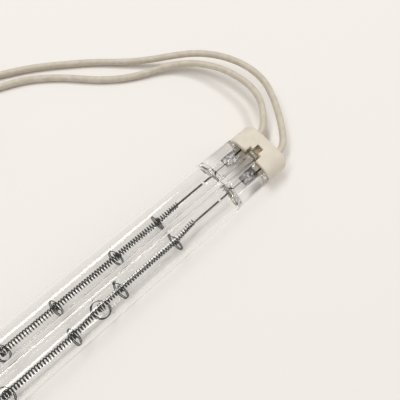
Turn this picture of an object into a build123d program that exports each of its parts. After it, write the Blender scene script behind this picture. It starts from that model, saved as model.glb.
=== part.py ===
from build123d import *
import math
import os

# Twin tube infrared heating lamp, lying on its two ceramic caps
# Millimetres, X along the tube with the leads at +X, Z up, floor at Z = 0

# Quartz tube with two bores side by side
tube_width = 23.0
tube_height = 11.0
wall = 1.1
septum = 1.4
septum_corner = 0.4
waist_depth = 1.8
waist_blend = 1.6
shoulder_arc = 31.0
shoulder_round = 3.0
shoulder_wall = 1.3
bore_dome = 6.0

# Tungsten filaments, one in each bore
coil_length = 130.0
coil_pitch = 1.25
coil_outside = 2.1
coil_wire = 0.4
coil_sides = 6
wire_sides = 3
filament_inset = 1.2

# Support wires that hold a filament off the quartz
support_wire = 0.34
grip_turns = 2
grip_sides = 8
grip_pitch = 0.7
grip_clearance = 0.06
loop_clearance = 1.0
loop_sides = 14
support_end_margin = 8.0

# Each support's place from the coil's lead end, and how far its loop leans along the tube
support_places_left = (11.6, 30.5, 54.2, 74.7, 95.6, 116.6)
support_leans_left = (2.0, 2.6, 0.8, 1.5, 2.2, 1.2)
support_places_right = (11.7, 35.8, 45.9, 55.1, 80.4, 103.2)
support_leans_right = (2.6, 2.0, 5.0, 0.8, 1.6, 2.2)

# Rods, molybdenum foils and pins that carry the current through the glass
rod_diameter = 0.8
rod_free = 19.0
rod_in_coil = 4.0
foil_margin = 2.8
foil_length = 9.0
foil_width = 5.5
foil_thickness = 0.1
weld_length = 1.6
seal_inset = 0.7

# Pinch seals that close the tube
pinch_shown = 12.4
pinch_width = 21.8
pinch_plate = 3.0
edge_rib_width = 4.4
edge_rib_height = 6.4
edge_rib_round = 1.8
centre_rib_width = 3.4
centre_rib_height = 9.0
centre_rib_round = 1.4
rib_blend = 1.2
rib_in_cap = 2.2
tongue_width = 17.4
tongue_in_cap = 5.1

# Ceramic caps and what is potted in them
cap_width = 22.0
cap_height = 11.2
cap_length = 10.4
cap_wall = 1.6
cap_back_wall = 2.4
cap_back_round = 1.8
cap_front_round = 0.4
mouth_width = 5.6
mouth_depth = 2.8
slot_width = 2.9
slot_depth = 5.5
cement_depth = 3.0
crimp_diameter = 2.6
crimp_gap = 0.1
pin_in_crimp = 1.6
pin_clearance = 0.03
strap_thickness = 0.6
strap_height = 2.4
strap_overhang = 1.2
strap_setback = 1.0

# Flexible leads with a put-away coil, a tie and a ring terminal each
lead_diameter = 2.7
lead_hole_clearance = 0.1
arc_share = 0.45
coil_turns = 3.15
coil_inner_turn = 13.5
coil_groove = 0.15
tie_thickness = 0.4
tie_width = 3.0
barrel_diameter = 3.5
barrel_length = 6.0
ring_outside = 8.0
ring_hole = 4.3
ring_plate = 0.8
ring_neck = 1.6

# How close two places count as the same place
same_place = 0.01

# Stations and heights that follow from those sizes
lobe_y = (tube_width - tube_height) / 2
filament_y = lobe_y - filament_inset
seal_y = lobe_y - seal_inset
room_to_septum = filament_y - septum / 2
room_to_wall = math.sqrt((tube_height / 2 - wall) ** 2 - filament_inset ** 2)
loop_radius = min(room_to_septum, room_to_wall) - loop_clearance
axis_z = cap_height / 2
coil_end = coil_length / 2
shoulder_x = coil_end + rod_free
shoulder_fall = shoulder_arc - math.sqrt(shoulder_arc ** 2 - (tube_width / 2) ** 2)
seal_root = shoulder_x - shoulder_fall - shoulder_round
cap_front = shoulder_x + pinch_shown
cap_back = cap_front + cap_length
pocket_end = cap_back - cap_back_wall
foil_start = shoulder_x + foil_margin
foil_end = foil_start + foil_length
crimp_start = cap_front + tongue_in_cap + crimp_gap
floor_run = lead_diameter / 2
coil_outer_turn = coil_inner_turn + lead_diameter
lower_level = tie_thickness + lead_diameter / 2
upper_level = lower_level + lead_diameter
barrel_z = barrel_diameter / 2

# Routes of the leads, from the inside of the cap's back wall to the coil
# X is measured from the cap's back, so the leads go where the cap goes
lead_route_left = [
    (-cap_back_wall, seal_y, axis_z), (1.6, seal_y, axis_z), (5.4, 7.0, 5.9), (9.0, 10.8, 6.4),
    (12.5, 16.0, 6.9), (13.9, 22.8, 7.2), (13.0, 31.0, 7.0), (10.6, 38.8, 6.3), (5.7, 47.2, 5.0),
    (-0.6, 53.2, 3.5), (-7.6, 57.0, 2.2), (-15.0, 59.9, 1.5), (-22.6, 64.0, floor_run),
    (-30.2, 69.8, floor_run), (-37.4, 77.2, floor_run), (-44.6, 83.4, floor_run),
    (-52.6, 88.6, floor_run), (-61.6, 92.0, floor_run), (-71.0, 95.2, floor_run),
    (-80.5, 97.6, floor_run), (-90.0, 99.8, lower_level),
]
lead_route_right = [
    (-cap_back_wall, -seal_y, axis_z), (1.8, -seal_y, axis_z), (5.8, -3.5, 5.9), (9.2, 0.3, 6.3),
    (12.4, 5.0, 6.8), (16.6, 12.4, 7.4), (19.9, 21.5, 7.9), (19.0, 31.5, 8.1), (14.7, 41.3, 7.9),
    (8.6, 49.6, 6.8), (0.7, 56.3, 5.0), (-8.0, 62.6, 3.0), (-16.6, 69.9, 1.6),
    (-24.5, 77.0, floor_run), (-33.9, 83.5, floor_run), (-42.2, 89.0, floor_run),
    (-50.7, 93.7, floor_run), (-60.0, 97.6, floor_run), (-69.0, 101.6, floor_run),
    (-78.0, 105.0, lower_level),
]
tail_steps = [(6.0, 3.9), (10.5, 2.6), (14.5, barrel_z), (18.0, barrel_z)]

nodes = {}


def across(x):
    """The plane across the lamp at x, centred on the tube, with Y to its right and Z up."""
    return Plane((x, 0, axis_z), x_dir=(0, 1, 0), z_dir=(1, 0, 0))


def bar(profile, start, end):
    """A straight bar of one section along X."""
    return extrude(across(start) * profile, end - start)


def round_bar(diameter, y, start, end):
    return bar(Pos(y, 0) * Circle(diameter / 2), start, end)


def arced_bar(profile, reach, arc):
    """A bar of one section, alike at both ends, which are arced in plan."""
    plan = Pos(0, 0, axis_z) * SlotOverall(2 * reach, 2 * arc)
    return bar(profile, -cap_front, cap_front) & extrude(plan, tube_height, both=True)


def faceted_wire(points, diameter):
    """A thin wire of flat facets along a polyline, with the round wire's own area."""
    corner = diameter / 2 * math.sqrt(2 * math.pi / (wire_sides * math.sin(2 * math.pi / wire_sides)))
    path = Polyline(*points)
    section = Plane(path @ 0, z_dir=path % 0) * RegularPolygon(corner, wire_sides)
    return sweep(section, path=path, transition=Transition.RIGHT)


def around(x, side, radius, turn):
    """A point beside a filament's axis, at an angle from straight up."""
    return (x, side * filament_y + radius * math.sin(turn), axis_z + radius * math.cos(turn))


# Quartz envelope: the drawn tube, its shoulders and both pinch seals are one piece of glass
def tube_section(inset=0):
    """The tube's outer line, or the same line further in by an inset."""
    waist = tube_height - 2 * (waist_depth + inset)
    lobes = [Pos(side * lobe_y, 0) * Circle(tube_height / 2 - inset) for side in (-1, 1)]
    outline = Sketch() + lobes + Rectangle(2 * lobe_y, waist)
    notches = outline.vertices().filter_by(lambda v: abs(abs(v.Y) - waist / 2) < same_place)
    return fillet(notches, waist_blend + inset)


def bore(side):
    """The hollow on one side of the septum, a wall's thickness inside the tube, with domed ends."""
    half = Pos(side * (septum + tube_width) / 2, 0) * Rectangle(tube_width, tube_height)
    section = tube_section(wall) & half
    corners = section.vertices().filter_by(lambda v: abs(abs(v.X) - septum / 2) < same_place)
    reach = shoulder_x - shoulder_wall
    hollow = arced_bar(fillet(corners, septum_corner), reach, shoulder_arc - shoulder_wall)
    profile = Plane((0, 0, axis_z), x_dir=(1, 0, 0), z_dir=(0, 1, 0)) * SlotOverall(2 * reach, 2 * bore_dome)
    return hollow & extrude(profile, tube_width, both=True)


def pinch_section():
    edge_y = (pinch_width - edge_rib_width) / 2
    edge_rib = RectangleRounded(edge_rib_width, edge_rib_height, edge_rib_round)
    section = Rectangle(pinch_width - edge_rib_width, pinch_plate)
    section += centre_rib()
    section += [Pos(side * edge_y, 0) * edge_rib for side in (-1, 1)]
    corners = section.vertices().filter_by(lambda v: abs(abs(v.Y) - pinch_plate / 2) < same_place)
    return fillet(corners, rib_blend)


def centre_rib():
    return RectangleRounded(centre_rib_width, centre_rib_height, centre_rib_round)


def pinch_seal():
    seal = bar(pinch_section(), seal_root, cap_front)
    seal += bar(centre_rib(), seal_root, cap_front + rib_in_cap)
    return seal + tongue(seal_root)


def tongue(start):
    return bar(Rectangle(tongue_width, pinch_plate), start, cap_front + tongue_in_cap)


# Current path at one end of one filament: rod into the coil, foil in the glass, pin to the outside
def inner_rod(side):
    return round_bar(rod_diameter, side * filament_y, coil_end - rod_in_coil, foil_start + weld_length)


def foil(side):
    strip = Pos(side * seal_y, -(rod_diameter + foil_thickness) / 2) * Rectangle(foil_width, foil_thickness)
    return bar(strip, foil_start, foil_end)


def outer_pin(side, end):
    return round_bar(rod_diameter, side * seal_y, foil_end - weld_length, end)


sides = {"left": 1, "right": -1}
pin_ends = {"front": crimp_start + pin_in_crimp, "far": pocket_end - strap_setback - strap_thickness}
for end_name, pin_end in pin_ends.items():
    for side_name, side in sides.items():
        metal = {"inner_rod": inner_rod(side), "foil": foil(side), "outer_pin": outer_pin(side, pin_end)}
        for piece_name, piece in metal.items():
            placed = piece if end_name == "front" else mirror(piece, Plane.YZ)
            nodes[f"{piece_name}_{side_name}_{end_name}"] = placed

tube = arced_bar(tube_section(), shoulder_x, shoulder_arc)
tube_ends = tube.faces().sort_by(Axis.X)
envelope = fillet(tube_ends[0].edges() + tube_ends[-1].edges(), shoulder_round)
envelope += [pinch_seal(), mirror(pinch_seal(), Plane.YZ)]
envelope -= [bore(side) for side in sides.values()] + list(nodes.values())
nodes["quartz_envelope"] = envelope

# Filaments: close turns of tungsten wire, each turn a few straight runs
coil_middle = (coil_outside - coil_wire) / 2
coil_corner = 2 * coil_middle / (1 + math.cos(math.pi / coil_sides))
coil_steps = round(coil_length / coil_pitch) * coil_sides


def filament(side):
    points = []
    for step in range(coil_steps + 1):
        x = coil_length * step / coil_steps - coil_end
        points.append(around(x, side, coil_corner, 2 * math.pi * step / coil_sides))
    return faceted_wire(points, coil_wire)


# Supports: tight turns that grip the filament, then one open loop that leans along the tube
grip_radius = (coil_corner + coil_wire + support_wire + grip_clearance) / math.cos(math.pi / grip_sides)


def support(side, grip_start, lean):
    points = []
    for step in range(grip_turns * grip_sides + 1):
        x = grip_start + grip_pitch * step / grip_sides
        points.append(around(x, side, grip_radius, 2 * math.pi * step / grip_sides))
    loop_start = grip_start + grip_pitch * (grip_turns + 1)
    for step in range(1, loop_sides):
        turn = 2 * math.pi * step / loop_sides
        points.append(around(loop_start + lean * (1 - math.cos(turn)) / 2, side, loop_radius, turn))
    return faceted_wire(points, support_wire)


support_places = {"left": support_places_left, "right": support_places_right}
support_leans = {"left": support_leans_left, "right": support_leans_right}
for side_name, side in sides.items():
    nodes[f"filament_{side_name}"] = filament(side)
    held = [place for place in support_places[side_name] if place < coil_length - support_end_margin]
    for number, (place, lean) in enumerate(zip(held, support_leans[side_name]), start=1):
        nodes[f"support_{side_name}_{number}"] = support(side, coil_end - place, lean)


# Ceramic caps: an oval pocket over the tongue, with a stepped slot for the centre rib in both faces
def cap(holes):
    body = bar(SlotOverall(cap_width, cap_height), cap_front, cap_back)
    body = fillet(body.faces().sort_by(Axis.X)[-1].edges(), cap_back_round)
    body = fillet(body.faces().sort_by(Axis.X)[0].edges(), cap_front_round)
    body -= pocket(cap_front)
    body -= bar(Rectangle(mouth_width, cap_height), cap_front, cap_front + mouth_depth)
    body -= bar(Rectangle(slot_width, cap_height), cap_front, cap_front + slot_depth)
    return body - holes


def pocket(start):
    return bar(SlotOverall(cap_width - 2 * cap_wall, cap_height - 2 * cap_wall), start, pocket_end)


hole_diameter = lead_diameter + 2 * lead_hole_clearance
lead_holes = [round_bar(hole_diameter, side * seal_y, pocket_end, cap_back) for side in sides.values()]
nodes["ceramic_cap_front"] = cap(lead_holes)
nodes["ceramic_cap_far"] = mirror(cap([]), Plane.YZ)


# Crimp sleeves at the lead end and the strap that joins both filaments at the far end
def crimp_body(side):
    return round_bar(crimp_diameter, side * seal_y, crimp_start, pocket_end)


for side_name, side in sides.items():
    socket_diameter = rod_diameter + 2 * pin_clearance
    socket = round_bar(socket_diameter, side * seal_y, crimp_start, crimp_start + pin_in_crimp)
    nodes[f"crimp_{side_name}"] = crimp_body(side) - socket
strap_end = pocket_end - strap_setback
strap_section = Rectangle(2 * (seal_y + strap_overhang), strap_height)
strap = bar(strap_section, strap_end - strap_thickness, strap_end)
nodes["jumper_strap"] = mirror(strap, Plane.YZ)

# Cement that pots the tongue, the pins and the joints in each cap
cement = pocket(cap_front + cement_depth) - tongue(cap_front)
cement -= [outer_pin(side, crimp_start) for side in sides.values()]
nodes["cap_cement_front"] = cement - [crimp_body(side) for side in sides.values()]
far_cement = cement - [outer_pin(side, strap_end) for side in sides.values()] - strap
nodes["cap_cement_far"] = mirror(far_cement, Plane.YZ)


# Leads: a smooth route to the coil, a ring of stacked turns, a tail and a ring terminal
def corner_radii(points):
    """The largest arc that each corner of a route has room for."""
    corners = [Vector(*point) for point in points]
    radii = []
    for before, corner, after in zip(corners, corners[1:], corners[2:]):
        turn = math.radians((corner - before).get_angle(after - corner))
        shorter_run = min((corner - before).length, (after - corner).length)
        radii.append(arc_share * shorter_run / math.tan(turn / 2))
    return radii


def tube_along(path, diameter):
    return sweep(Plane(path @ 0, z_dir=path % 0) * Circle(diameter / 2), path=path)


def terminal():
    """A ring terminal lying flat, its barrel along X from the origin."""
    barrel = extrude(Plane((0, 0, barrel_z), z_dir=(1, 0, 0)) * Circle(barrel_diameter / 2), barrel_length)
    ring_x = barrel_length + ring_neck + ring_outside / 2
    neck = Pos(ring_x / 2, 0) * Rectangle(ring_x, barrel_diameter)
    plate = neck + Pos(ring_x, 0) * Circle(ring_outside / 2) - Pos(ring_x, 0) * Circle(ring_hole / 2)
    return barrel + extrude(plate, ring_plate)


def put_away(side_name, route, sense):
    """One lead with its coil, tie, tail and terminal; sense is +1 for turns to the left."""
    points = [(cap_back + x, y, z) for x, y, z in route]
    entry, before = Vector(*points[-1]), Vector(*points[-2])
    heading = math.atan2(entry.Y - before.Y, entry.X - before.X)
    centre_x = entry.X - sense * coil_outer_turn * math.sin(heading)
    centre_y = entry.Y + sense * coil_outer_turn * math.cos(heading)
    leaving = heading + sense * 2 * math.pi * coil_turns
    tail_x = centre_x + sense * coil_outer_turn * math.sin(leaving)
    tail_y = centre_y - sense * coil_outer_turn * math.cos(leaving)
    tail_points = [(tail_x + run * math.cos(leaving), tail_y + run * math.sin(leaving), z)
                   for run, z in [(0, upper_level)] + tail_steps]

    inside, outside = coil_inner_turn - lead_diameter / 2, coil_outer_turn + lead_diameter / 2
    ring = extrude(Circle(outside) - Circle(inside), 2 * lead_diameter)
    ring = Pos(centre_x, centre_y, tie_thickness) * ring
    tie_height = 2 * (lead_diameter + tie_thickness)
    tie_depth = outside - inside + 2 * tie_thickness
    band = Pos((inside + outside) / 2, 0, tie_height / 2) * Box(tie_depth, tie_width, tie_height)
    opposite = math.degrees(heading) + sense * 90
    band = Pos(centre_x, centre_y) * Rot(0, 0, opposite) * band

    nodes[f"coil_tie_{side_name}"] = band - ring
    for name, run in (("lead", points), ("lead_tail", tail_points)):
        radii = corner_radii(run)
        path = FilletPolyline(*run, radius=radii)
        tube = tube_along(path, lead_diameter)
        ring -= tube_along(path, lead_diameter + 2 * coil_groove)
        nodes[f"{name}_{side_name}"] = tube
        filled = tube.volume / (path.length * math.pi * lead_diameter ** 2 / 4)
        print(f"{name}_{side_name}: length {path.length:.1f}, volume share {filled:.4f}")
        print("   radii", " ".join(f"{radius:.1f}" for radius in radii))
    nodes[f"lead_coil_{side_name}"] = ring
    end_x, end_y, _ = tail_points[-1]
    nodes[f"lead_terminal_{side_name}"] = Pos(end_x, end_y) * Rot(0, 0, math.degrees(leaving)) * terminal()


put_away("left", lead_route_left, 1)
put_away("right", lead_route_right, -1)

os.makedirs("parts", exist_ok=True)
for name, shape in nodes.items():
    export_step(shape, f"parts/{name}.step")
print(f"{len(nodes)} nodes, {2 * cap_back:.1f} long over the caps")
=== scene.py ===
import math
import bmesh
import bpy
from mathutils import Matrix, Vector, noise


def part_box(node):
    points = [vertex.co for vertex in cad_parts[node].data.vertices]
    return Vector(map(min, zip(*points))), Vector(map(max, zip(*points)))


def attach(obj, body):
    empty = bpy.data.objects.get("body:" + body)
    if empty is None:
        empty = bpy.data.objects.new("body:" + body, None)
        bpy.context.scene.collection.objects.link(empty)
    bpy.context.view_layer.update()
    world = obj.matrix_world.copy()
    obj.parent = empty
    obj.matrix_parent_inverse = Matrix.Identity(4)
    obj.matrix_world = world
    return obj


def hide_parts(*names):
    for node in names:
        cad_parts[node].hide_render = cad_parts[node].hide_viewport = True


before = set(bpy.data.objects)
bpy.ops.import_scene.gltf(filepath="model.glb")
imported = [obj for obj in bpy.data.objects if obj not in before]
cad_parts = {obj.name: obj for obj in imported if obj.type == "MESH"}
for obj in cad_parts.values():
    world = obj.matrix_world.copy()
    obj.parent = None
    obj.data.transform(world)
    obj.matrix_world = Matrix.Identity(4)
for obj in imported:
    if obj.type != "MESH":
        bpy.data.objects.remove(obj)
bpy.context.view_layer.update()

# Quartz envelope
# One length of clear quartz drawn with two bores and a septum between them.
# Each end was heated and pressed round the foils, which leaves a domed shoulder and a ribbed seal.
MM = 0.001  # sizes are in millimetres unless a comment says metres
sides = {"left": 1, "right": -1}
tube_axis_z = 5.6
lobe_y = 6.0
lobe_radius = 5.5
wall = 1.1
septum = 1.4
septum_corner = 0.4
waist_depth = 1.8
waist_blend = 1.6
shoulder_tip = 84.0
shoulder_arc = 31.0
shoulder_length = 3.6
shoulder_steps = 16
shoulder_fullness = 2.2
shoulder_closing = 0.93
shoulder_flare = 1.0
flare_middle = 0.3
tip_wall = 1.3
bore_tip = shoulder_tip - tip_wall
bore_middle_y = 5.4
bore_dome = 6.0
bore_edge_round = 1.3
bore_edge_fullness = 8
bore_points = 104
# The shares of its section that the bore keeps, ring by ring, as it closes.
bore_closing = (1.0, 0.995, 0.98, 0.955, 0.92, 0.86, 0.78, 0.66, 0.5, 0.32, 0.14)
cap_front = 96.4
rib_in_cap = 2.2
tongue_in_cap = 5.1
rib_end = cap_front + rib_in_cap
tongue_end = cap_front + tongue_in_cap
seal_half_width = 10.9
edge_rib_width = 3.3
edge_rib_z = 3.2
edge_rib_round = 1.5
plate_z = 1.5
centre_rib_half = 1.7
centre_rib_z = 4.5
centre_rib_round = 0.7
rib_blend = 0.9
tongue_half_width = 8.7
# Where the sections are divided, so that the points of the tube, the seal and the tongue match.
lobe_splits = (0, 45, 55, 78, 92, 120)
tongue_marks = (tongue_half_width, 7.4, 6.4, 5.0, centre_rib_half + rib_blend)
section_points = (11, 3, 8, 8, 9, 9, 8)
quartz_colour = (0.995, 0.995, 0.992, 1.0)
quartz_ior = 1.458
draw_line_stretch = (1.0, 220.0, 220.0)
draw_line_scale = 3.0
draw_line_detail = 1.0
draw_line_depth = 0.05
draw_line_strength = 0.006
shadow_tones = ((0.995, 0.994, 0.992), (0.78, 0.772, 0.765))
shadow_span = (0.4, 0.97)
trapped_depth = 2.5


def arc(centre_y, centre_z, radius, start, stop, count=13):
    """Points on an arc of a section, its angles in degrees from +Y towards +Z."""
    angles = [math.radians(start + (stop - start) * i / (count - 1)) for i in range(count)]
    return [(centre_y + radius * math.cos(a), centre_z + radius * math.sin(a)) for a in angles]


def between(a, b, share):
    """The point of a section that lies a share of the way from one point to another."""
    return (a[0] + (b[0] - a[0]) * share, a[1] + (b[1] - a[1]) * share)


def evenly(line, count):
    """A line divided into equal steps, its end point left to what follows."""
    steps = [math.dist(a, b) for a, b in zip(line, line[1:])]
    points, index, passed = [], 0, 0.0
    for i in range(count):
        wanted = sum(steps) * i / count
        while passed + steps[index] < wanted:
            passed += steps[index]
            index += 1
        share = (wanted - passed) / steps[index] if steps[index] else 0.0
        points.append(between(line[index], line[index + 1], share))
    return points


def quarter(stretches):
    """One quarter of a section, from its side to its middle, with matching points in each stretch."""
    points = []
    for stretch, count in zip(stretches, section_points):
        points += evenly(stretch, count)
    return points + [stretches[-1][-1]]


def whole_ring(points):
    """A full ring from one quarter of a section that is alike on both sides and both faces."""
    top = points + [(-y, z) for y, z in reversed(points[:-1])]
    return top + [(y, -z) for y, z in reversed(top[1:-1])]


def tube_stretches(inset, splits):
    """The tube's line from its side to its waist, or the same line further in by an inset."""
    radius, blend = lobe_radius - inset, waist_blend + inset
    waist_z = radius - waist_depth
    blend_z = waist_z + blend
    blend_y = lobe_y - math.sqrt((radius + blend) ** 2 - blend_z ** 2)
    lobe_stop = math.degrees(math.atan2(blend_z, blend_y - lobe_y))
    lobe = [arc(lobe_y, 0, radius, a, b) for a, b in zip(splits, splits[1:])]
    notch = arc(lobe_y, 0, radius, splits[-1], lobe_stop)
    notch += arc(blend_y, blend_z, blend, lobe_stop - 180, -90)[1:]
    return lobe + [notch, [(blend_y, waist_z), (0.0, waist_z)]]


def centre_rib_stretches():
    """The centre rib's side with the blend at its foot, then its rounded top."""
    side = arc(centre_rib_half + rib_blend, plate_z + rib_blend, rib_blend, -90, -180)
    side.append((centre_rib_half, centre_rib_z - centre_rib_round))
    crown_y = centre_rib_half - centre_rib_round
    crown = arc(crown_y, centre_rib_z - centre_rib_round, centre_rib_round, 0, 90)
    return [side, crown + [(0.0, centre_rib_z)]]


def seal_quarter():
    """The seal's section: a rounded edge rib, a thin window and the centre rib."""
    outer_y = seal_half_width - edge_rib_round
    inner_y = seal_half_width - edge_rib_width + edge_rib_round
    round_z = edge_rib_z - edge_rib_round
    foot_z = plate_z + rib_blend
    foot_y = inner_y - math.sqrt((edge_rib_round + rib_blend) ** 2 - (foot_z - round_z) ** 2)
    touch = math.degrees(math.atan2(foot_z - round_z, foot_y - inner_y))
    side = [(seal_half_width, 0.0)] + arc(outer_y, round_z, edge_rib_round, 0, 90)
    top = [(outer_y, edge_rib_z), (inner_y, edge_rib_z)]
    inner = arc(inner_y, round_z, edge_rib_round, 90, touch)
    foot = arc(foot_y, foot_z, rib_blend, touch - 180, -90)
    window = [(foot_y, plate_z), (centre_rib_half + rib_blend, plate_z)]
    return quarter([side, top, inner, foot, window] + centre_rib_stretches())


def tongue_quarter(with_rib):
    """The section of the flat tongue that goes into the cap, with or without the centre rib."""
    side = [(tongue_half_width, 0.0), (tongue_half_width, plate_z)]
    face = [[(a, plate_z), (b, plate_z)] for a, b in zip(tongue_marks, tongue_marks[1:])]
    bare_marks = (tongue_marks[-1], centre_rib_half, 0.0)
    bare = [[(a, plate_z), (b, plate_z)] for a, b in zip(bare_marks, bare_marks[1:])]
    return quarter([side] + face + (centre_rib_stretches() if with_rib else bare))


def plan_fall(y):
    """How far the pressed end falls back beside the lamp's middle."""
    return shoulder_arc - math.sqrt(shoulder_arc ** 2 - y ** 2)


def shoulder_rings():
    """Rings from the tube's end to the seal, closed in a dome that flares into the seal."""
    tube, seal = quarter(tube_stretches(0.0, lobe_splits)), seal_quarter()
    steps = []
    for step in range(shoulder_steps + 1):
        share = step / shoulder_steps
        dome = 1.0 - (1.0 - share ** shoulder_fullness) ** (1.0 / shoulder_fullness)
        steps.append((shoulder_length * (share - 1.0), shoulder_closing * dome))
    steps += [(shoulder_flare * flare_middle, (1.0 + shoulder_closing) / 2), (shoulder_flare, 1.0)]
    rings = []
    for offset, closed in steps:
        mixed = [between(a, b, closed) for a, b in zip(tube, seal)]
        rings.append([(shoulder_tip + offset - plan_fall(y), y, z) for y, z in whole_ring(mixed)])
    return rings


def flat_ring(x, points):
    """A ring square to the tube at one place along it."""
    return [(x, y, z) for y, z in whole_ring(points)]


def bore_rings(side):
    """Rings that close one bore in a dome, arced in plan like the shoulder round it."""
    lobe, notch, flat = tube_stretches(wall, lobe_splits[:1] + lobe_splits[-1:])
    corner_z = flat[0][1] - septum_corner
    upper = lobe + notch[1:] + arc(septum / 2 + septum_corner, corner_z, septum_corner, 90, 180)
    outline = upper + [(y, -z) for y, z in reversed(upper)]
    line = evenly(outline, bore_points)
    rings = []
    for share in bore_closing:
        edge_fall = bore_edge_round * (1.0 - math.sqrt(1.0 - share ** bore_edge_fullness))
        ring = []
        for y, z in line:
            y, z = side * (bore_middle_y + (y - bore_middle_y) * share), z * share
            dome_fall = bore_dome - math.sqrt(bore_dome ** 2 - z ** 2)
            ring.append((bore_tip - plan_fall(y) - dome_fall - edge_fall, y, z))
        rings.append(ring)
    return rings


def both_ends(rings):
    """The lead end's rings and the same rings at the far end, in one row along the tube."""
    return [[(-x, y, z) for x, y, z in ring] for ring in reversed(rings)] + rings


def loft(rings, hollow=False):
    """Skins a row of rings, closes both ends and points the faces out, or in for a hollow."""
    build = bmesh.new()
    rows = []
    for ring in rings:
        rows.append([build.verts.new((x * MM, y * MM, (z + tube_axis_z) * MM)) for x, y, z in ring])
    for first, second in zip(rows, rows[1:]):
        for i in range(len(first)):
            j = (i + 1) % len(first)
            build.faces.new((first[i], first[j], second[j], second[i]))
    build.faces.new(rows[0])
    build.faces.new(rows[-1])
    bmesh.ops.recalc_face_normals(build, faces=build.faces)
    if hollow:
        bmesh.ops.reverse_faces(build, faces=build.faces)
    return build


def settle(build, name, material, sharp_degrees=38.0):
    """Turns a bmesh into a smooth shaded piece that rides on the lamp."""
    mesh = bpy.data.meshes.new(name)
    build.to_mesh(mesh)
    build.free()
    mesh.materials.append(material)
    mesh.polygons.foreach_set("use_smooth", [True] * len(mesh.polygons))
    mesh.set_sharp_from_angle(angle=math.radians(sharp_degrees))
    piece = bpy.data.objects.new(name, mesh)
    bpy.context.scene.collection.objects.link(piece)
    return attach(piece, "root")


def new_finish(name):
    """An empty material with its tree and its Principled shader."""
    material = bpy.data.materials.new(name)
    material.use_nodes = True
    tree = material.node_tree
    return material, tree, tree.nodes["Principled BSDF"]


def add_node(tree, kind, **inputs):
    """A node with some inputs set by name, where spaces are written as underscores."""
    node = tree.nodes.new(kind)
    for name, value in inputs.items():
        node.inputs[name.replace("_", " ")].default_value = value
    return node


def math_node(tree, operation, *values):
    """A Math node on numbers or on other nodes' outputs; gives its result."""
    node = tree.nodes.new("ShaderNodeMath")
    node.operation = operation
    for socket, value in zip(node.inputs, values):
        if isinstance(value, bpy.types.NodeSocket):
            tree.links.new(value, socket)
        else:
            socket.default_value = value
    return node.outputs[0]


def grain(tree, scale, stretch=(1.0, 1.0, 1.0), detail=4.0):
    """Noise on the piece's own coordinates, stretched by a factor along each axis."""
    place = tree.nodes.new("ShaderNodeTexCoord")
    mapping = add_node(tree, "ShaderNodeMapping", Scale=stretch)
    texture = add_node(tree, "ShaderNodeTexNoise", Scale=scale, Detail=detail)
    tree.links.new(place.outputs["Object"], mapping.inputs["Vector"])
    tree.links.new(mapping.outputs["Vector"], texture.inputs["Vector"])
    return texture.outputs["Fac"]


def ramp(tree, source, low, high, start=0.3, stop=0.7):
    """Two colours blended by a value."""
    node = tree.nodes.new("ShaderNodeValToRGB")
    node.color_ramp.elements[0].position = start
    node.color_ramp.elements[1].position = stop
    node.color_ramp.elements[0].color = (*low, 1.0)
    node.color_ramp.elements[1].color = (*high, 1.0)
    tree.links.new(source, node.inputs["Fac"])
    return node.outputs["Color"]


def bump(tree, shader, source, depth, strength):
    """Roughens a shader's surface by a value, to a depth in millimetres."""
    node = add_node(tree, "ShaderNodeBump", Distance=depth * MM, Strength=strength)
    tree.links.new(source, node.inputs["Height"])
    tree.links.new(node.outputs["Normal"], shader.inputs["Normal"])


def quartz_finish():
    """Clear glass with faint lines along the draw.

    Lamplight passes straight through it to the table, less of it where it meets the glass edge on.
    Light that keeps bouncing inside the glass is let out too.
    """
    material, tree, shader = new_finish("clear_quartz")
    shader.inputs["Base Color"].default_value = quartz_colour
    shader.inputs["Transmission Weight"].default_value = 1.0
    shader.inputs["IOR"].default_value = quartz_ior
    shader.inputs["Roughness"].default_value = 0.0
    draw_lines = grain(tree, draw_line_scale, draw_line_stretch, draw_line_detail)
    bump(tree, shader, draw_lines, draw_line_depth, draw_line_strength)
    path = tree.nodes.new("ShaderNodeLightPath")
    trapped = math_node(tree, "GREATER_THAN", path.outputs["Glossy Depth"], trapped_depth)
    lamplight = math_node(tree, "MAXIMUM", path.outputs["Is Shadow Ray"], path.outputs["Is Diffuse Ray"])
    let_through = math_node(tree, "MAXIMUM", lamplight, trapped)
    edge = add_node(tree, "ShaderNodeLayerWeight", Blend=0.5)
    clear = tree.nodes.new("ShaderNodeBsdfTransparent")
    passed = ramp(tree, edge.outputs["Facing"], *shadow_tones, *shadow_span)
    tree.links.new(passed, clear.inputs["Color"])
    mix = tree.nodes.new("ShaderNodeMixShader")
    tree.links.new(let_through, mix.inputs[0])
    tree.links.new(shader.outputs["BSDF"], mix.inputs[1])
    tree.links.new(clear.outputs["BSDF"], mix.inputs[2])
    tree.links.new(mix.outputs["Shader"], tree.nodes["Material Output"].inputs["Surface"])
    return material


outer_rings = shoulder_rings() + [
    flat_ring(cap_front, seal_quarter()),
    flat_ring(cap_front, tongue_quarter(True)),
    flat_ring(rib_end, tongue_quarter(True)),
    flat_ring(rib_end, tongue_quarter(False)),
    flat_ring(tongue_end, tongue_quarter(False)),
]
glass = loft(both_ends(outer_rings))
for side in sides.values():
    hollow = loft(both_ends(bore_rings(side)), hollow=True)
    bore_wall = bpy.data.meshes.new("bore_wall")
    hollow.to_mesh(bore_wall)
    hollow.free()
    glass.from_mesh(bore_wall)
    bpy.data.meshes.remove(bore_wall)
envelope = settle(glass, "quartz_tube", quartz_finish())
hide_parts("quartz_envelope")

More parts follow.
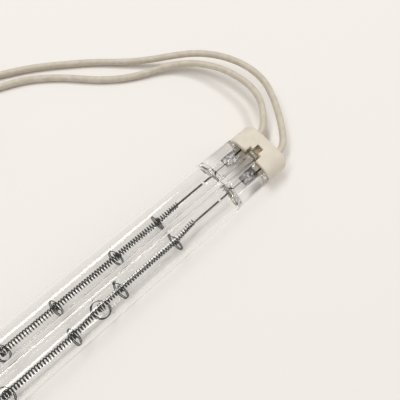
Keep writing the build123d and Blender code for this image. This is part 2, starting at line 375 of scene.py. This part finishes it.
# Filaments
# Two coils of drawn tungsten wire, one down each bore, wound close and left dull by the flashing.
# Each sways a little between its supports, and the right one wanders from its bore's middle.
filament_y = 4.8
filament_length = 130.0
filament_pitch = 1.04
filament_radius = 0.86
filament_wire_radius = 0.215
filament_turn_points = 16
wire_facets = 6
sway = 0.28
sway_scale = 55.0
noise_middle = (0.5, 0.5, 0.5)
middle_drift = {"left": 0.0, "right": -1.6}
middle_drift_span = (30.0, 8.0)
end_drift = {"left": 0.2, "right": 1.0}
end_drift_span = (54.0, 66.0)
wire_grain = 900.0
tungsten_tones = ((0.006, 0.006, 0.005), (0.035, 0.033, 0.031))
tungsten_roughness = 0.4


def eased(value, start, stop):
    """A smooth step from 0 to 1 between two values."""
    share = min(max((value - start) / (stop - start), 0.0), 1.0)
    return share * share * (3.0 - 2.0 * share)


def filament_line(side_name, x):
    """The place across the lamp of one filament's middle at a place along it."""
    drift = middle_drift[side_name] * eased(x, *middle_drift_span)
    drift += end_drift[side_name] * eased(x, *end_drift_span)
    return sides[side_name] * filament_y + drift


def mottled_finish(name, tones, grain_scale, roughness, metallic=0.0):
    """A material whose colour wanders between two tones."""
    material, tree, shader = new_finish(name)
    tree.links.new(ramp(tree, grain(tree, grain_scale), *tones), shader.inputs["Base Color"])
    shader.inputs["Metallic"].default_value = metallic
    shader.inputs["Roughness"].default_value = roughness
    return material, tree, shader


def metal_finish(name, tones, roughness):
    """Bare metal with a fine mottle."""
    return mottled_finish(name, tones, wire_grain, roughness, metallic=1.0)[0]


def new_tree(name, sizes):
    """A Geometry Nodes tree with an input for each size, one for its place and one for its material."""
    tree = bpy.data.node_groups.new(name, "GeometryNodeTree")
    tree.interface.new_socket("Geometry", in_out="OUTPUT", socket_type="NodeSocketGeometry")
    for size in sizes:
        tree.interface.new_socket(size, in_out="INPUT", socket_type="NodeSocketFloat")
    tree.interface.new_socket("Place", in_out="INPUT", socket_type="NodeSocketVector")
    tree.interface.new_socket("Material", in_out="INPUT", socket_type="NodeSocketMaterial")
    tree.nodes.new("NodeGroupOutput")
    return tree, tree.nodes.new("NodeGroupInput").outputs


def wound_line(tree, inputs, part, turn_points):
    """The line of a wound wire, from the tree's inputs for that part."""
    spiral = add_node(tree, "GeometryNodeCurveSpiral", Resolution=turn_points)
    tree.links.new(inputs[part + " Turns"], spiral.inputs["Rotations"])
    tree.links.new(inputs[part + " Radius"], spiral.inputs["Start Radius"])
    tree.links.new(inputs[part + " Radius"], spiral.inputs["End Radius"])
    tree.links.new(inputs[part + " Length"], spiral.inputs["Height"])
    return spiral.outputs["Curve"]


def along_tube(tree, inputs, line):
    """Turns what was wound about Z to lie along the tube, at its place."""
    turned = add_node(tree, "GeometryNodeTransform", Rotation=(0.0, math.radians(90), 0.0))
    tree.links.new(line, turned.inputs["Geometry"])
    tree.links.new(inputs["Place"], turned.inputs["Translation"])
    return turned.outputs["Geometry"]


def own_x(tree):
    """The X of each point's own place."""
    place = tree.nodes.new("GeometryNodeInputPosition")
    apart = tree.nodes.new("ShaderNodeSeparateXYZ")
    tree.links.new(place.outputs["Position"], apart.inputs["Vector"])
    return apart.outputs["X"]


def vector_of(tree, **axes):
    """A vector from values for some of its axes, with the others at 0."""
    node = tree.nodes.new("ShaderNodeCombineXYZ")
    for axis, source in axes.items():
        tree.links.new(source, node.inputs[axis])
    return node.outputs["Vector"]


def moved_by(tree, line, offset):
    """A line with its points moved by an offset."""
    node = tree.nodes.new("GeometryNodeSetPosition")
    tree.links.new(line, node.inputs["Geometry"])
    tree.links.new(offset, node.inputs["Offset"])
    return node.outputs["Geometry"]


def wire_skin(tree, inputs, line):
    """Gives a line its round wire and its material, and ends the tree."""
    profile = add_node(tree, "GeometryNodeCurvePrimitiveCircle", Resolution=wire_facets)
    tree.links.new(inputs["Wire Radius"], profile.inputs["Radius"])
    skin = add_node(tree, "GeometryNodeCurveToMesh", Fill_Caps=True)
    tree.links.new(line, skin.inputs["Curve"])
    tree.links.new(profile.outputs["Curve"], skin.inputs["Profile Curve"])
    real = tree.nodes.new("GeometryNodeRealizeInstances")
    tree.links.new(skin.outputs["Mesh"], real.inputs["Geometry"])
    painted = tree.nodes.new("GeometryNodeSetMaterial")
    tree.links.new(real.outputs["Geometry"], painted.inputs["Geometry"])
    tree.links.new(inputs["Material"], painted.inputs["Material"])
    tree.links.new(painted.outputs["Geometry"], tree.nodes["Group Output"].inputs["Geometry"])


def grow(name, tree, values):
    """Runs a tree with these inputs and gives the plain mesh object that it makes."""
    piece = bpy.data.objects.new(name, bpy.data.meshes.new(name + "_start"))
    bpy.context.scene.collection.objects.link(piece)
    modifier = piece.modifiers.new("build", "NODES")
    modifier.node_group = tree
    for item in tree.interface.items_tree:
        if item.item_type == "SOCKET" and item.in_out == "INPUT":
            modifier[item.identifier] = values[item.name]
    depsgraph = bpy.context.evaluated_depsgraph_get()
    mesh = bpy.data.meshes.new_from_object(piece.evaluated_get(depsgraph))
    piece.modifiers.remove(modifier)
    piece.data = mesh
    mesh.polygons.foreach_set("use_smooth", [True] * len(mesh.polygons))
    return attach(piece, "root")


def filament_tree():
    """A wound wire that sways by a smooth noise along it and drifts across the lamp at two stretches."""
    tree, inputs = new_tree("wound_filament", (
        "Coil Turns", "Coil Length", "Coil Radius", "Wire Radius", "Sway", "Middle Drift", "End Drift"))
    line = along_tube(tree, inputs, wound_line(tree, inputs, "Coil", filament_turn_points))
    along = own_x(tree)
    wander = add_node(tree, "ShaderNodeTexNoise", Scale=sway_scale, Detail=0.0)
    tree.links.new(vector_of(tree, X=along), wander.inputs["Vector"])
    centred = tree.nodes.new("ShaderNodeVectorMath")
    centred.operation = "SUBTRACT"
    centred.inputs[1].default_value = noise_middle
    tree.links.new(wander.outputs["Color"], centred.inputs[0])
    scaled = tree.nodes.new("ShaderNodeVectorMath")
    scaled.operation = "SCALE"
    tree.links.new(centred.outputs["Vector"], scaled.inputs[0])
    tree.links.new(inputs["Sway"], scaled.inputs["Scale"])
    line = moved_by(tree, line, scaled.outputs["Vector"])
    for label, (start, stop) in (("Middle Drift", middle_drift_span), ("End Drift", end_drift_span)):
        share = add_node(tree, "ShaderNodeMapRange", From_Min=start * MM, From_Max=stop * MM)
        share.interpolation_type = "SMOOTHSTEP"
        tree.links.new(along, share.inputs["Value"])
        tree.links.new(inputs[label], share.inputs["To Max"])
        line = moved_by(tree, line, vector_of(tree, Y=share.outputs["Result"]))
    wire_skin(tree, inputs, line)
    return tree


tungsten = metal_finish("dull_tungsten", tungsten_tones, tungsten_roughness)
filament_nodes = filament_tree()
for side_name, side in sides.items():
    filament = grow(f"filament_coil_{side_name}", filament_nodes, {
        "Coil Turns": filament_length / filament_pitch, "Coil Length": filament_length * MM,
        "Coil Radius": filament_radius * MM, "Wire Radius": filament_wire_radius * MM, "Sway": sway * MM,
        "Middle Drift": middle_drift[side_name] * MM, "End Drift": end_drift[side_name] * MM,
        "Place": (-filament_length / 2 * MM, side * filament_y * MM, tube_axis_z * MM),
        "Material": tungsten})
    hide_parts(f"filament_{side_name}")

# Filament supports
# Fine tungsten wire wound tight on the coil, then opened into a ring of not quite two turns.
# They were slid on by hand, so each ring leans its own way along the tube.
support_wire_radius = 0.17
grip_turns = 2.2
grip_radius = 1.3
grip_length = 1.5
grip_room = 2.44
grip_turn_points = 24
ring_turns = 1.7
ring_pitch = 0.45
ring_radius = 3.2
ring_shift = -0.5
ring_drop = 0.4
ring_turn_points = 48


def support_tree():
    """A grip and a ring of the same wire, the ring leaned along the tube as it falls."""
    tree, inputs = new_tree("filament_support", (
        "Grip Turns", "Grip Length", "Grip Radius", "Ring Turns", "Ring Length", "Ring Radius",
        "Ring Shift", "Ring Drop", "Lean", "Wire Radius"))
    grip = wound_line(tree, inputs, "Grip", grip_turn_points)
    ring = wound_line(tree, inputs, "Ring", ring_turn_points)
    share = math_node(tree, "DIVIDE", own_x(tree), inputs["Ring Radius"])
    lean = math_node(tree, "MULTIPLY", share, inputs["Lean"])
    offset = vector_of(tree, X=inputs["Ring Drop"], Y=inputs["Ring Shift"], Z=lean)
    both = tree.nodes.new("GeometryNodeJoinGeometry")
    tree.links.new(moved_by(tree, ring, offset), both.inputs["Geometry"])
    tree.links.new(grip, both.inputs["Geometry"])
    wire_skin(tree, inputs, along_tube(tree, inputs, both.outputs["Geometry"]))
    return tree


support_nodes = support_tree()
for node_name in sorted(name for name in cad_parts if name.startswith("support_")):
    low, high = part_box(node_name)
    middle_x = (low.x + high.x) / 2
    middle_y = filament_line(node_name.split("_")[1], middle_x / MM) * MM
    support = grow(node_name + "_wire", support_nodes, {
        "Grip Turns": grip_turns, "Grip Length": grip_length * MM, "Grip Radius": grip_radius * MM,
        "Ring Turns": ring_turns, "Ring Length": ring_turns * ring_pitch * MM,
        "Ring Radius": ring_radius * MM, "Ring Shift": ring_shift * MM, "Ring Drop": ring_drop * MM,
        "Lean": (high.x - low.x - grip_room * MM) / 2, "Wire Radius": support_wire_radius * MM,
        "Place": (middle_x - grip_length / 2 * MM, middle_y, tube_axis_z * MM), "Material": tungsten})
    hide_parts(node_name)

# Rods and pins
# Molybdenum rods carry the current from each coil into the seal, drawn down to a thin tip on the foil.
# Short pins lead on from the foil into the cap.
ends = {"front": 1, "far": -1}
rod_sides = 16
rod_radius = 0.35
rod_start = 61.0
rod_stop = 83.4
tip_radius = 0.14
tip_drop = 0.26
tip_start = 84.2
tip_stop = 90.4
# A painted highlight: a short near-white, barely metallic band round each rod, standing for a white
# reflection.
highlight_band_place = 77.5
highlight_band_half = 0.45
molybdenum_tones = ((0.035, 0.033, 0.032), (0.10, 0.097, 0.094))
molybdenum_roughness = 0.42
rod_tone = (0.06, 0.058, 0.056)
painted_highlight_tone = (0.86, 0.85, 0.83)
dull_metal = (1.0, 1.0, 1.0)
painted_highlight_metal = (0.2, 0.2, 0.2)


def rod_finish_with_painted_highlight():
    """Dull molybdenum with one near-white band of painted highlight across the rod."""
    material, tree, shader = new_finish("rod_molybdenum_painted_highlight")
    place = tree.nodes.new("ShaderNodeTexCoord")
    apart = tree.nodes.new("ShaderNodeSeparateXYZ")
    tree.links.new(place.outputs["Object"], apart.inputs["Vector"])
    along = math_node(tree, "ABSOLUTE", apart.outputs["X"])
    # This mask marks the painted highlight band.
    bare = math_node(tree, "COMPARE", along, highlight_band_place * MM, highlight_band_half * MM)
    tree.links.new(ramp(tree, bare, rod_tone, painted_highlight_tone), shader.inputs["Base Color"])
    tree.links.new(ramp(tree, bare, dull_metal, painted_highlight_metal), shader.inputs["Metallic"])
    shader.inputs["Roughness"].default_value = molybdenum_roughness
    return material


def stepped_rod(side_name, end_name, material):
    """A rod whose end in the glass is drawn down to a thin tip on the foil."""
    end = ends[end_name]
    y = filament_line(side_name, end * rod_start)
    turns = [2.0 * math.pi * i / rod_sides for i in range(rod_sides)]
    steps = [(rod_start, rod_radius, 0.0), (rod_stop, rod_radius, 0.0),
             (tip_start, tip_radius, tip_drop), (tip_stop, tip_radius, tip_drop)]
    rings = [[(end * x, y + radius * math.cos(a), radius * math.sin(a) - drop) for a in turns]
             for x, radius, drop in steps]
    rod = settle(loft(rings), f"rod_{side_name}_{end_name}", material)
    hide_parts(f"inner_rod_{side_name}_{end_name}")


def paint(node_name, material):
    """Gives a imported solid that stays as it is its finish."""
    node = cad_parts[node_name]
    node.data.materials.clear()
    node.data.materials.append(material)


molybdenum = metal_finish("dull_molybdenum", molybdenum_tones, molybdenum_roughness)
molybdenum_with_painted_highlight = rod_finish_with_painted_highlight()
for side_name in sides:
    for end_name in ends:
        stepped_rod(side_name, end_name, molybdenum_with_painted_highlight)
        paint(f"outer_pin_{side_name}_{end_name}", molybdenum)

# Foils
# Molybdenum rolled to a feather edge and welded between each rod and its pin, which burnt its inner end.
# It crumpled a little as the glass was pressed on it. It is one metal throughout: the left foils are
# painted lighter as lit and the right ones darker as shaded, and the edges carry painted shade.
foil_spans = {"left": (3.2, 7.5), "right": (-6.4, -2.1)}
foil_trim = 2.0
foil_steps = (48, 30)
foil_crumple = 0.1
foil_crumple_fall = 1.0
foil_crumple_step = 2.0
foil_crumple_layers = 4
foil_curl = 0.3
foil_thinning = 0.7
foil_edge_power = 4
foil_ragged = 0.7
foil_ragged_power = 5
foil_grain = 900.0
foil_edge_grain = 620.0
foil_edge_row = 9.0
foil_burn_length = 1.3
foil_burn_gain = 1.4
foil_burn_and_shade_middle = 0.6
# How closely the painted shade hugs the foil's edges.
foil_edge_shade_power = 7
foil_colour_grain = 700.0
foil_colour_span = (0.4, 0.6)
foil_roughness = 0.5
# The same metal in two tones: the left foils are painted as lit, the right ones as shaded.
foil_lit_and_shaded_tones = {
    "left": ((0.26, 0.243, 0.238), (0.60, 0.573, 0.563)),
    "right": ((0.14, 0.131, 0.129), (0.36, 0.343, 0.335)),
}
# Near black, for the burnt weld end and for the painted shade at the edges.
burnt_and_shaded_tone = (0.03, 0.028, 0.027, 1.0)


def foil_finish(side_name):
    """Rolled metal, painted lighter on the left as lit and darker on the right as shaded; darkened where
    the foil is burnt, with painted shade at its edges.
    """
    material, tree, shader = new_finish(f"foil_painted_light_{side_name}")
    rolled = ramp(tree, grain(tree, foil_colour_grain), *foil_lit_and_shaded_tones[side_name], *foil_colour_span)
    # Mixes in the burn mark at the weld and the painted shade at the edges.
    burn_and_edge_shade = tree.nodes.new("ShaderNodeAttribute")
    burn_and_edge_shade.attribute_name = "burn_and_edge_shade"
    colour = tree.nodes.new("ShaderNodeMix")
    colour.data_type = "RGBA"
    tree.links.new(burn_and_edge_shade.outputs["Fac"], colour.inputs["Factor"])
    tree.links.new(rolled, colour.inputs[6])
    colour.inputs[7].default_value = burnt_and_shaded_tone
    tree.links.new(colour.outputs[2], shader.inputs["Base Color"])
    shader.inputs["Metallic"].default_value = 1.0
    shader.inputs["Roughness"].default_value = foil_roughness
    return material


def foil_point(x, share, low, high):
    """Where the foil's middle lies at one place along and across it, and half its thickness there."""
    outward = 2 * share - 1
    edge = outward ** foil_edge_power
    row = math.copysign(foil_edge_row, outward)
    ragged = noise.noise(Vector((x * foil_edge_grain, row, low.y * foil_grain)))
    y = low.y + (high.y - low.y) * share + foil_ragged * MM * ragged * outward ** foil_ragged_power
    rise = noise.fractal(
        Vector((x, y, high.z)) * foil_grain, foil_crumple_fall, foil_crumple_step, foil_crumple_layers)
    middle = (low.z + high.z) / 2 + rise * foil_crumple * MM + foil_curl * MM * edge
    half = (high.z - low.z) / 2 * (1.0 - foil_thinning * edge)
    return y, middle, half


def foil_burn_and_edge_shade(x, y, share, inner_x):
    """How dark the foil is at one place: burnt most at its welded end, with painted shade at its edges,
    in patches.
    """
    weld = max(0.0, 1.0 - abs(x - inner_x) / (foil_burn_length * MM))
    # The edge term is painted shade; the weld term is a burn mark.
    edge = abs(2 * share - 1) ** foil_edge_shade_power
    patch = foil_burn_and_shade_middle + noise.noise(Vector((x, y, 0.0)) * foil_grain)
    return max(0.0, min(1.0, max(weld * foil_burn_gain, edge) * patch))


def crumpled_foil(side_name, end_name, material):
    """A thin strip in the seal, with a crumpled face and two ragged edges."""
    node_name = f"foil_{side_name}_{end_name}"
    low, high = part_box(node_name)
    low.y, high.y = (y * MM for y in foil_spans[side_name])
    if ends[end_name] > 0:
        low.x += foil_trim * MM
        inner_x = low.x
    else:
        high.x -= foil_trim * MM
        inner_x = high.x
    across, along = foil_steps
    build = bmesh.new()
    # This attribute carries both the burn mark and the painted edge shade.
    burn_and_edge_shade = build.verts.layers.float.new("burn_and_edge_shade")
    rings = []
    for i in range(along + 1):
        x = low.x + (high.x - low.x) * i / along
        upper, lower = [], []
        for j in range(across + 1):
            y, middle, half = foil_point(x, j / across, low, high)
            upper.append(build.verts.new((x, y, middle + half)))
            lower.append(build.verts.new((x, y, middle - half)))
            upper[-1][burn_and_edge_shade] = lower[-1][burn_and_edge_shade] = foil_burn_and_edge_shade(x, y, j / across, inner_x)
        rings.append(upper + lower[::-1])
    for first, second in zip(rings, rings[1:]):
        for j in range(len(first)):
            k = (j + 1) % len(first)
            build.faces.new((first[j], first[k], second[k], second[j]))
    for ring in (rings[0], rings[-1]):
        for j in range(across):
            build.faces.new((ring[j], ring[j + 1], ring[-2 - j], ring[-1 - j]))
    bmesh.ops.recalc_face_normals(build, faces=build.faces)
    strip = settle(build, node_name + "_strip", material, sharp_degrees=60.0)
    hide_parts(node_name)


for side_name in sides:
    foil_metal = foil_finish(side_name)
    for end_name in ends:
        crumpled_foil(side_name, end_name, foil_metal)

# Ceramic caps
# Dry-pressed cream steatite, left unglazed, with a pocket for the seal and a stepped slot for its rib.
# The lead end's cap has a hole for each lead in its back.
merge_distance = 0.002
ceramic_tones = ((0.70, 0.635, 0.53), (0.76, 0.70, 0.60))
ceramic_grain = 260.0
ceramic_roughness = 0.55
ceramic_glow = 0.15
ceramic_glow_reach = (0.001, 0.0008, 0.0006)  # metres
ceramic_pores = 2600.0
pore_depth = 0.04
pore_strength = 0.25


def merged_copy(node_name, name, material, sharp_degrees):
    """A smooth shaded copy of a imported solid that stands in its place."""
    build = bmesh.new()
    build.from_mesh(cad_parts[node_name].data)
    bmesh.ops.remove_doubles(build, verts=build.verts, dist=merge_distance * MM)
    piece = settle(build, name, material, sharp_degrees)
    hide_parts(node_name)
    return piece


def ceramic_finish():
    """Fine unglazed ceramic with small pores, a little translucent at its edges."""
    material, tree, shader = mottled_finish(
        "unglazed_ceramic", ceramic_tones, ceramic_grain, ceramic_roughness)
    shader.inputs["Subsurface Weight"].default_value = ceramic_glow
    shader.inputs["Subsurface Radius"].default_value = ceramic_glow_reach
    shader.inputs["Subsurface Scale"].default_value = 1.0
    bump(tree, shader, grain(tree, ceramic_pores), pore_depth, pore_strength)
    return material


ceramic = ceramic_finish()
for end_name in ends:
    cap = merged_copy(f"ceramic_cap_{end_name}", f"cap_body_{end_name}", ceramic, sharp_degrees=30.0)

# Cement, crimps and strap
# Brown potting cement fills each cap behind the glass, over the crimped joints at the lead end
# and over the strap that joins both filaments at the far end.
cement_tones = ((0.25, 0.195, 0.115), (0.46, 0.37, 0.25))
cement_grain = 1100.0
cement_roughness = 0.9
cement_lumps = 1800.0
lump_depth = 0.1
lump_strength = 0.6
nickel_tones = ((0.42, 0.40, 0.37), (0.58, 0.56, 0.52))
nickel_roughness = 0.35


def cement_finish():
    """Dry lumpy cement."""
    material, tree, shader = mottled_finish("brown_cement", cement_tones, cement_grain, cement_roughness)
    bump(tree, shader, grain(tree, cement_lumps), lump_depth, lump_strength)
    return material


cement = cement_finish()
nickel = metal_finish("satin_nickel", nickel_tones, nickel_roughness)
for end_name in ends:
    paint(f"cap_cement_{end_name}", cement)
for node_name in ("jumper_strap", "crimp_left", "crimp_right"):
    paint(node_name, nickel)

# Ring terminals
# Tinned copper, stamped flat with a hole for a screw.
# Its barrel is rolled round the lead's end and crimped.
tinned_tones = ((0.52, 0.51, 0.49), (0.72, 0.71, 0.69))
tinned_roughness = 0.25
tinned = metal_finish("tinned_ring", tinned_tones, tinned_roughness)
for side_name in sides:
    merged_copy(
        f"lead_terminal_{side_name}", f"ring_terminal_{side_name}", tinned, sharp_degrees=35.0)

# Coil ties
# A flat strip of white paper round each put-away coil.
# It holds the turns together until the lamp is fitted.
paper_tones = ((0.78, 0.77, 0.73), (0.86, 0.85, 0.82))
paper_grain = 1500.0
paper_roughness = 0.8
paper = mottled_finish("paper_strip", paper_tones, paper_grain, paper_roughness)[0]
for side_name in sides:
    merged_copy(
        f"coil_tie_{side_name}", f"paper_tie_{side_name}", paper, sharp_degrees=35.0)

# Leads
# Stranded nickel wire in a smooth cream sleeve, limp enough to lie in an easy arch.
# Each leaves the cap's back, arches over to the table, and ends in a tied coil and a ring terminal.
lead_diameter = 2.7
cap_back = 106.8
floor_run = 1.35
lower_level = 1.75
upper_level = 4.45
coil_turns = 3.15
coil_inner_turn = 13.5
coil_outer_turn = 16.2
coil_points_per_turn = 16
step_in_turns = (0.75, 1.0)
climb_turns = (1.55, 1.9)
step_out_turns = (2.35, 2.65)
lead_routes = {
    "left": [
        (-2.4, 5.3, 5.6), (1.6, 5.3, 5.6), (5.4, 7.0, 5.9), (9.0, 10.8, 6.4), (12.5, 16.0, 6.9),
        (13.9, 22.8, 7.2), (13.0, 31.0, 7.0), (10.6, 38.8, 6.3), (5.7, 47.2, 5.0), (-0.6, 53.2, 3.5),
        (-7.6, 57.0, 2.2), (-15.0, 59.9, 1.5), (-22.6, 64.0, floor_run), (-30.2, 69.8, floor_run),
        (-37.4, 77.2, floor_run), (-44.6, 83.4, floor_run), (-52.6, 88.6, floor_run),
        (-61.6, 92.0, floor_run), (-71.0, 95.2, floor_run), (-80.5, 97.6, floor_run),
        (-90.0, 99.8, lower_level),
    ],
    "right": [
        (-2.4, -5.3, 5.6), (1.8, -5.3, 5.6), (5.8, -3.5, 5.9), (9.2, 0.3, 6.3), (12.4, 5.0, 6.8),
        (16.6, 12.4, 7.4), (19.9, 21.5, 7.9), (19.0, 31.5, 8.1), (14.7, 41.3, 7.9), (8.6, 49.6, 6.8),
        (0.7, 56.3, 5.0), (-8.0, 62.6, 3.0), (-16.6, 69.9, 1.6), (-24.5, 77.0, floor_run),
        (-33.9, 83.5, floor_run), (-42.2, 89.0, floor_run), (-50.7, 93.7, floor_run),
        (-60.0, 97.6, floor_run), (-69.0, 101.6, floor_run), (-78.0, 105.0, lower_level),
    ],
}
tail_steps = [(0.0, upper_level), (6.0, 3.9), (10.5, 2.6), (14.5, lower_level), (18.0, lower_level)]
sleeve_tones = ((0.55, 0.485, 0.385), (0.655, 0.595, 0.50))
sleeve_grain = 420.0
sleeve_roughness = 0.5
sleeve_ripple = 1500.0
ripple_depth = 0.1
ripple_strength = 0.2


def coil_and_tail(route, sense):
    """The put-away turns after a route's last point, two columns and two layers, then the tail."""
    entry, before = Vector(route[-1]), Vector(route[-2])
    heading = math.atan2(entry.y - before.y, entry.x - before.x)
    centre_x = entry.x - sense * coil_outer_turn * math.sin(heading)
    centre_y = entry.y + sense * coil_outer_turn * math.cos(heading)
    inset = math.cos(math.pi / coil_points_per_turn)
    points = []
    for step in range(1, int(coil_turns * coil_points_per_turn)):
        turn = step / coil_points_per_turn
        inward = eased(turn, *step_in_turns) - eased(turn, *step_out_turns)
        radius = (coil_outer_turn + (coil_inner_turn - coil_outer_turn) * inward) / inset
        height = lower_level + (upper_level - lower_level) * eased(turn, *climb_turns)
        angle = heading + sense * (2.0 * math.pi * turn - math.pi / 2)
        points.append((centre_x + radius * math.cos(angle), centre_y + radius * math.sin(angle), height))
    leaving = heading + sense * 2.0 * math.pi * coil_turns
    tail_x = centre_x + sense * coil_outer_turn * math.sin(leaving)
    tail_y = centre_y - sense * coil_outer_turn * math.cos(leaving)
    for run, height in tail_steps:
        points.append((tail_x + run * math.cos(leaving), tail_y + run * math.sin(leaving), height))
    return points


def sleeve_finish():
    """Smooth cream sleeve with a faint ripple."""
    material, tree, shader = mottled_finish("cream_sleeve", sleeve_tones, sleeve_grain, sleeve_roughness)
    bump(tree, shader, grain(tree, sleeve_ripple), ripple_depth, ripple_strength)
    return material


def lead_curve(name, points, material):
    """One lead as a round curve through its route, with closed ends."""
    curve = bpy.data.curves.new(name, "CURVE")
    curve.dimensions = "3D"
    curve.bevel_depth = lead_diameter / 2 * MM
    curve.bevel_resolution = 6
    curve.resolution_u = 8
    curve.use_fill_caps = True
    spline = curve.splines.new("NURBS")
    spline.points.add(len(points) - 1)
    for point, (x, y, z) in zip(spline.points, points):
        point.co = (x * MM, y * MM, z * MM, 1.0)
    spline.order_u = 3
    spline.use_endpoint_u = True
    curve.materials.append(material)
    lead = bpy.data.objects.new(name, curve)
    bpy.context.scene.collection.objects.link(lead)
    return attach(lead, "root")


sleeve = sleeve_finish()
for side_name, sense in sides.items():
    route = [(cap_back + x, y, z) for x, y, z in lead_routes[side_name]]
    lead = lead_curve(f"lead_sleeve_{side_name}", route + coil_and_tail(route, sense), sleeve)
    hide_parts(f"lead_{side_name}", f"lead_coil_{side_name}", f"lead_tail_{side_name}")

# Table, light and camera
# A pale warm table under a long soft lamp from beyond the leads and a small one from past the cap.
# An even pale room fills in the rest, and the camera looks down on the lead end.
table_size = 3.0  # metres
table_drop = 0.02
table_colour = (0.88, 0.855, 0.825, 1.0)
table_roughness = 0.7
table_gloss = 0.2
lamp_colour = (1.0, 0.985, 0.96)
# The lamps' aim, places and sizes are in metres.
lamp_aim = Vector((0.08, 0.03, 0.0))
window_lamp_place = Vector((-0.18, 0.6, 1.26))
window_lamp_size = (1.3, 0.28)
window_lamp_power = 8.6
end_lamp_place = Vector((1.05, -0.22, 1.2))
end_lamp_size = (0.3, 0.3)
end_lamp_power = 5.4
room_colour = (1.0, 0.985, 0.965, 1.0)
room_strength = 0.51
camera_place = Vector((37.447, -27.141, 133.227)) * MM
camera_right = Vector((0.7369, -0.67388, 0.05364))
camera_up = Vector((0.62505, 0.70943, 0.32562))
camera_lens = 33.194
camera_near = 0.005  # metres


def table_finish():
    """Plain matt table top."""
    material, _, shader = new_finish("pale_table")
    shader.inputs["Base Color"].default_value = table_colour
    shader.inputs["Roughness"].default_value = table_roughness
    shader.inputs["Specular IOR Level"].default_value = table_gloss
    return material


def soft_lamp(name, place, size, power):
    """An area lamp that points at the lead end."""
    lamp = bpy.data.lights.new(name, "AREA")
    lamp.shape = "RECTANGLE"
    lamp.size, lamp.size_y = size
    lamp.energy = power
    lamp.color = lamp_colour
    holder = bpy.data.objects.new(name, lamp)
    holder.location = place
    holder.rotation_euler = (lamp_aim - place).to_track_quat("-Z", "Y").to_euler()
    bpy.context.scene.collection.objects.link(holder)


table_mesh = bmesh.new()
bmesh.ops.create_grid(table_mesh, x_segments=1, y_segments=1, size=table_size / 2)
bmesh.ops.translate(table_mesh, verts=table_mesh.verts, vec=(0.0, 0.0, -table_drop * MM))
table_top = bpy.data.meshes.new("table_top")
table_mesh.to_mesh(table_top)
table_mesh.free()
table_top.materials.append(table_finish())
table = bpy.data.objects.new("table_top", table_top)
bpy.context.scene.collection.objects.link(table)

soft_lamp("window_lamp", window_lamp_place, window_lamp_size, window_lamp_power)
soft_lamp("end_lamp", end_lamp_place, end_lamp_size, end_lamp_power)
world = bpy.data.worlds.new("soft_room")
world.use_nodes = True
room = world.node_tree.nodes["Background"]
room.inputs["Color"].default_value = room_colour
room.inputs["Strength"].default_value = room_strength
bpy.context.scene.world = world
bpy.context.scene.view_settings.view_transform = "Standard"

camera_data = bpy.data.cameras.new("camera")
camera_data.sensor_width = 36.0
camera_data.lens = camera_lens
camera_data.clip_start = camera_near
camera = bpy.data.objects.new("camera", camera_data)
axes = Matrix((camera_right, camera_up, camera_right.cross(camera_up))).transposed().to_4x4()
camera.matrix_world = Matrix.Translation(camera_place) @ axes
bpy.context.scene.collection.objects.link(camera)
bpy.context.scene.camera = camera
